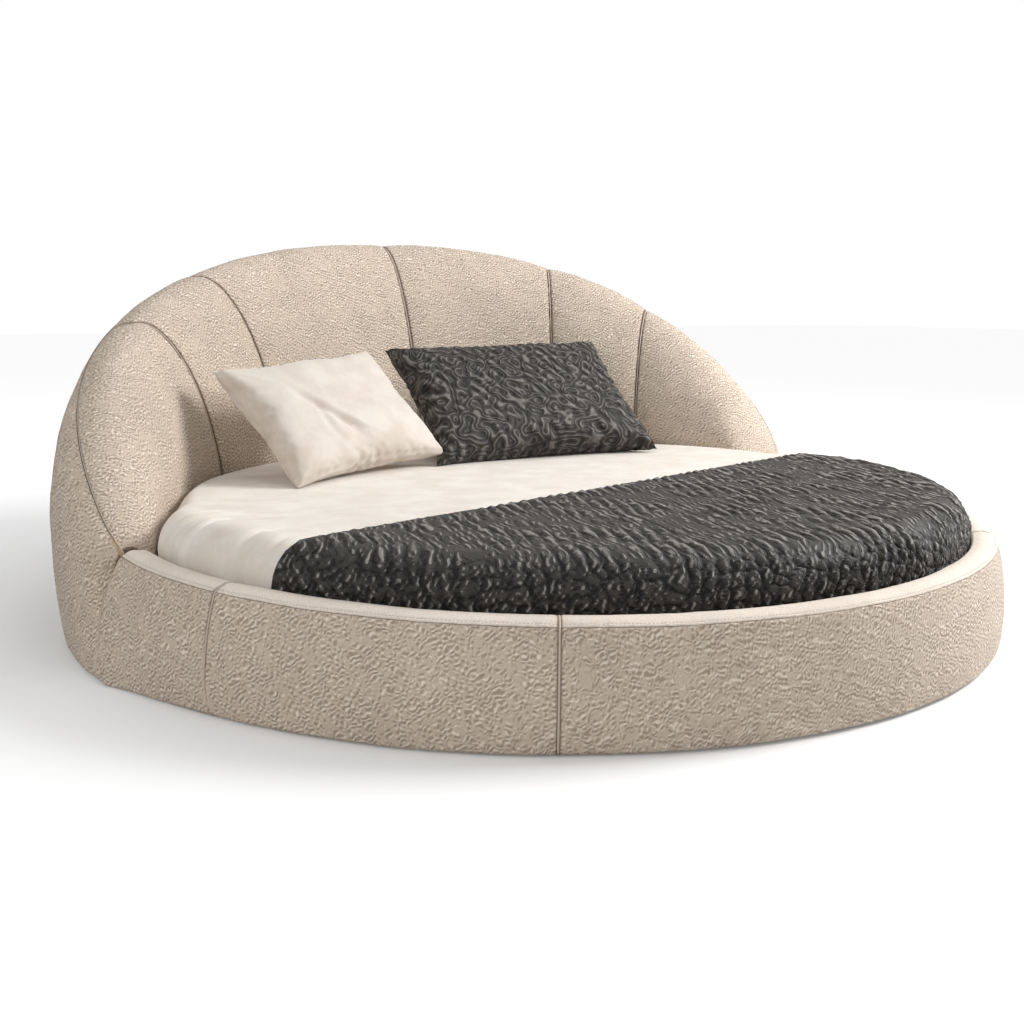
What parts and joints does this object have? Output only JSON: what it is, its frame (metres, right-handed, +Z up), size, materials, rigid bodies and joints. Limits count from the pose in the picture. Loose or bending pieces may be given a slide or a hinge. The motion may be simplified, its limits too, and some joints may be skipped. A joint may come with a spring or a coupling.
{
  "type": "round bed",
  "caption": "Round bed with padded ring rails, a curved channelled headboard that falls to an arm on each side, a slatted base, a mattress, a fitted sheet, a quilted throw and two pillows.",
  "frame": {"origin": "on the floor, under the middle of the ring of rails", "axes": "+Z up, +Y towards the headboard, +X to the right seen from the foot"},
  "size_m": [2.5063, 2.5157, 1.0357],
  "materials": {
    "rail_fabric": "woven, matt",
    "headboard_fabric": "woven, matt",
    "cream_fabric": "smooth, matt",
    "charcoal_fabric": "quilted, matt",
    "ticking_fabric": "quilted, matt",
    "foam": "open foam",
    "fibre_fill": "soft fill",
    "plywood": "raw ply",
    "pine": "planed",
    "zinc_steel": "zinc-plated",
    "dark_plastic": "moulded"
  },
  "bodies": {
    "base": {"beam_bracket_foot": "zinc_steel", "beam_bracket_head": "zinc_steel", "beam_legs": "pine", "centre_beam": "pine", "headboard_back_lining": "plywood", "headboard_back_pad": "headboard_fabric", "headboard_base_plate": "plywood", "headboard_channel_1": "headboard_fabric", "headboard_channel_2": "headboard_fabric", "headboard_channel_3": "headboard_fabric", "headboard_channel_4": "headboard_fabric", "headboard_channel_5": "headboard_fabric", "headboard_channel_6": "headboard_fabric", "headboard_front_lining": "plywood", "headboard_glides": "dark_plastic", "headboard_rib_1": "plywood", "headboard_rib_2": "plywood", "headboard_rib_3": "plywood", "headboard_rib_4": "plywood", "headboard_rib_5": "plywood", "headboard_rib_6": "plywood", "headboard_rib_7": "plywood", "headboard_top_lining": "plywood", "joint_bolts": "zinc_steel", "joint_nuts": "zinc_steel", "joint_plates": "zinc_steel", "ledger_front_left": "pine", "ledger_front_right": "pine", "ledger_head_left": "pine", "ledger_head_right": "pine", "ledger_left": "pine", "ledger_rear_left": "pine", "ledger_rear_right": "pine", "ledger_right": "pine", "ledger_screws": "zinc_steel", "leg_glides": "dark_plastic", "rail_board_front": "plywood", "rail_board_left": "plywood", "rail_board_rear_left": "plywood", "rail_board_rear_right": "plywood", "rail_board_right": "plywood", "rail_glides": "dark_plastic", "rail_pad_front": "rail_fabric", "rail_pad_left": "rail_fabric", "rail_pad_rear_left": "rail_fabric", "rail_pad_rear_right": "rail_fabric", "rail_pad_right": "rail_fabric", "slats_left": "pine", "slats_right": "pine"},
    "mattress": {"mattress_core": "foam", "mattress_ticking": "ticking_fabric", "fitted_sheet": "cream_fabric"},
    "throw": {"throw": "charcoal_fabric"},
    "dark_pillow": {"dark_pillow_cover": "charcoal_fabric", "dark_pillow_insert": "fibre_fill"},
    "cream_pillow": {"cream_pillow_cover": "cream_fabric", "cream_pillow_insert": "fibre_fill"}
  },
  "joints": [
    {"name": "mattress_lift", "type": "slide", "parent": "base", "child": "mattress", "axis": [0, 0, 1], "range_m": [0, 0.4]},
    {"name": "throw_lift", "type": "slide", "parent": "mattress", "child": "throw", "axis": [0, 0, 1], "range_m": [0, 0.4]},
    {"name": "dark_pillow_lift", "type": "slide", "parent": "mattress", "child": "dark_pillow", "axis": [0, 0, 1], "range_m": [0, 0.4]},
    {"name": "cream_pillow_lift", "type": "slide", "parent": "dark_pillow", "child": "cream_pillow", "axis": [0, 0, 1], "range_m": [0, 0.4]}
  ]
}
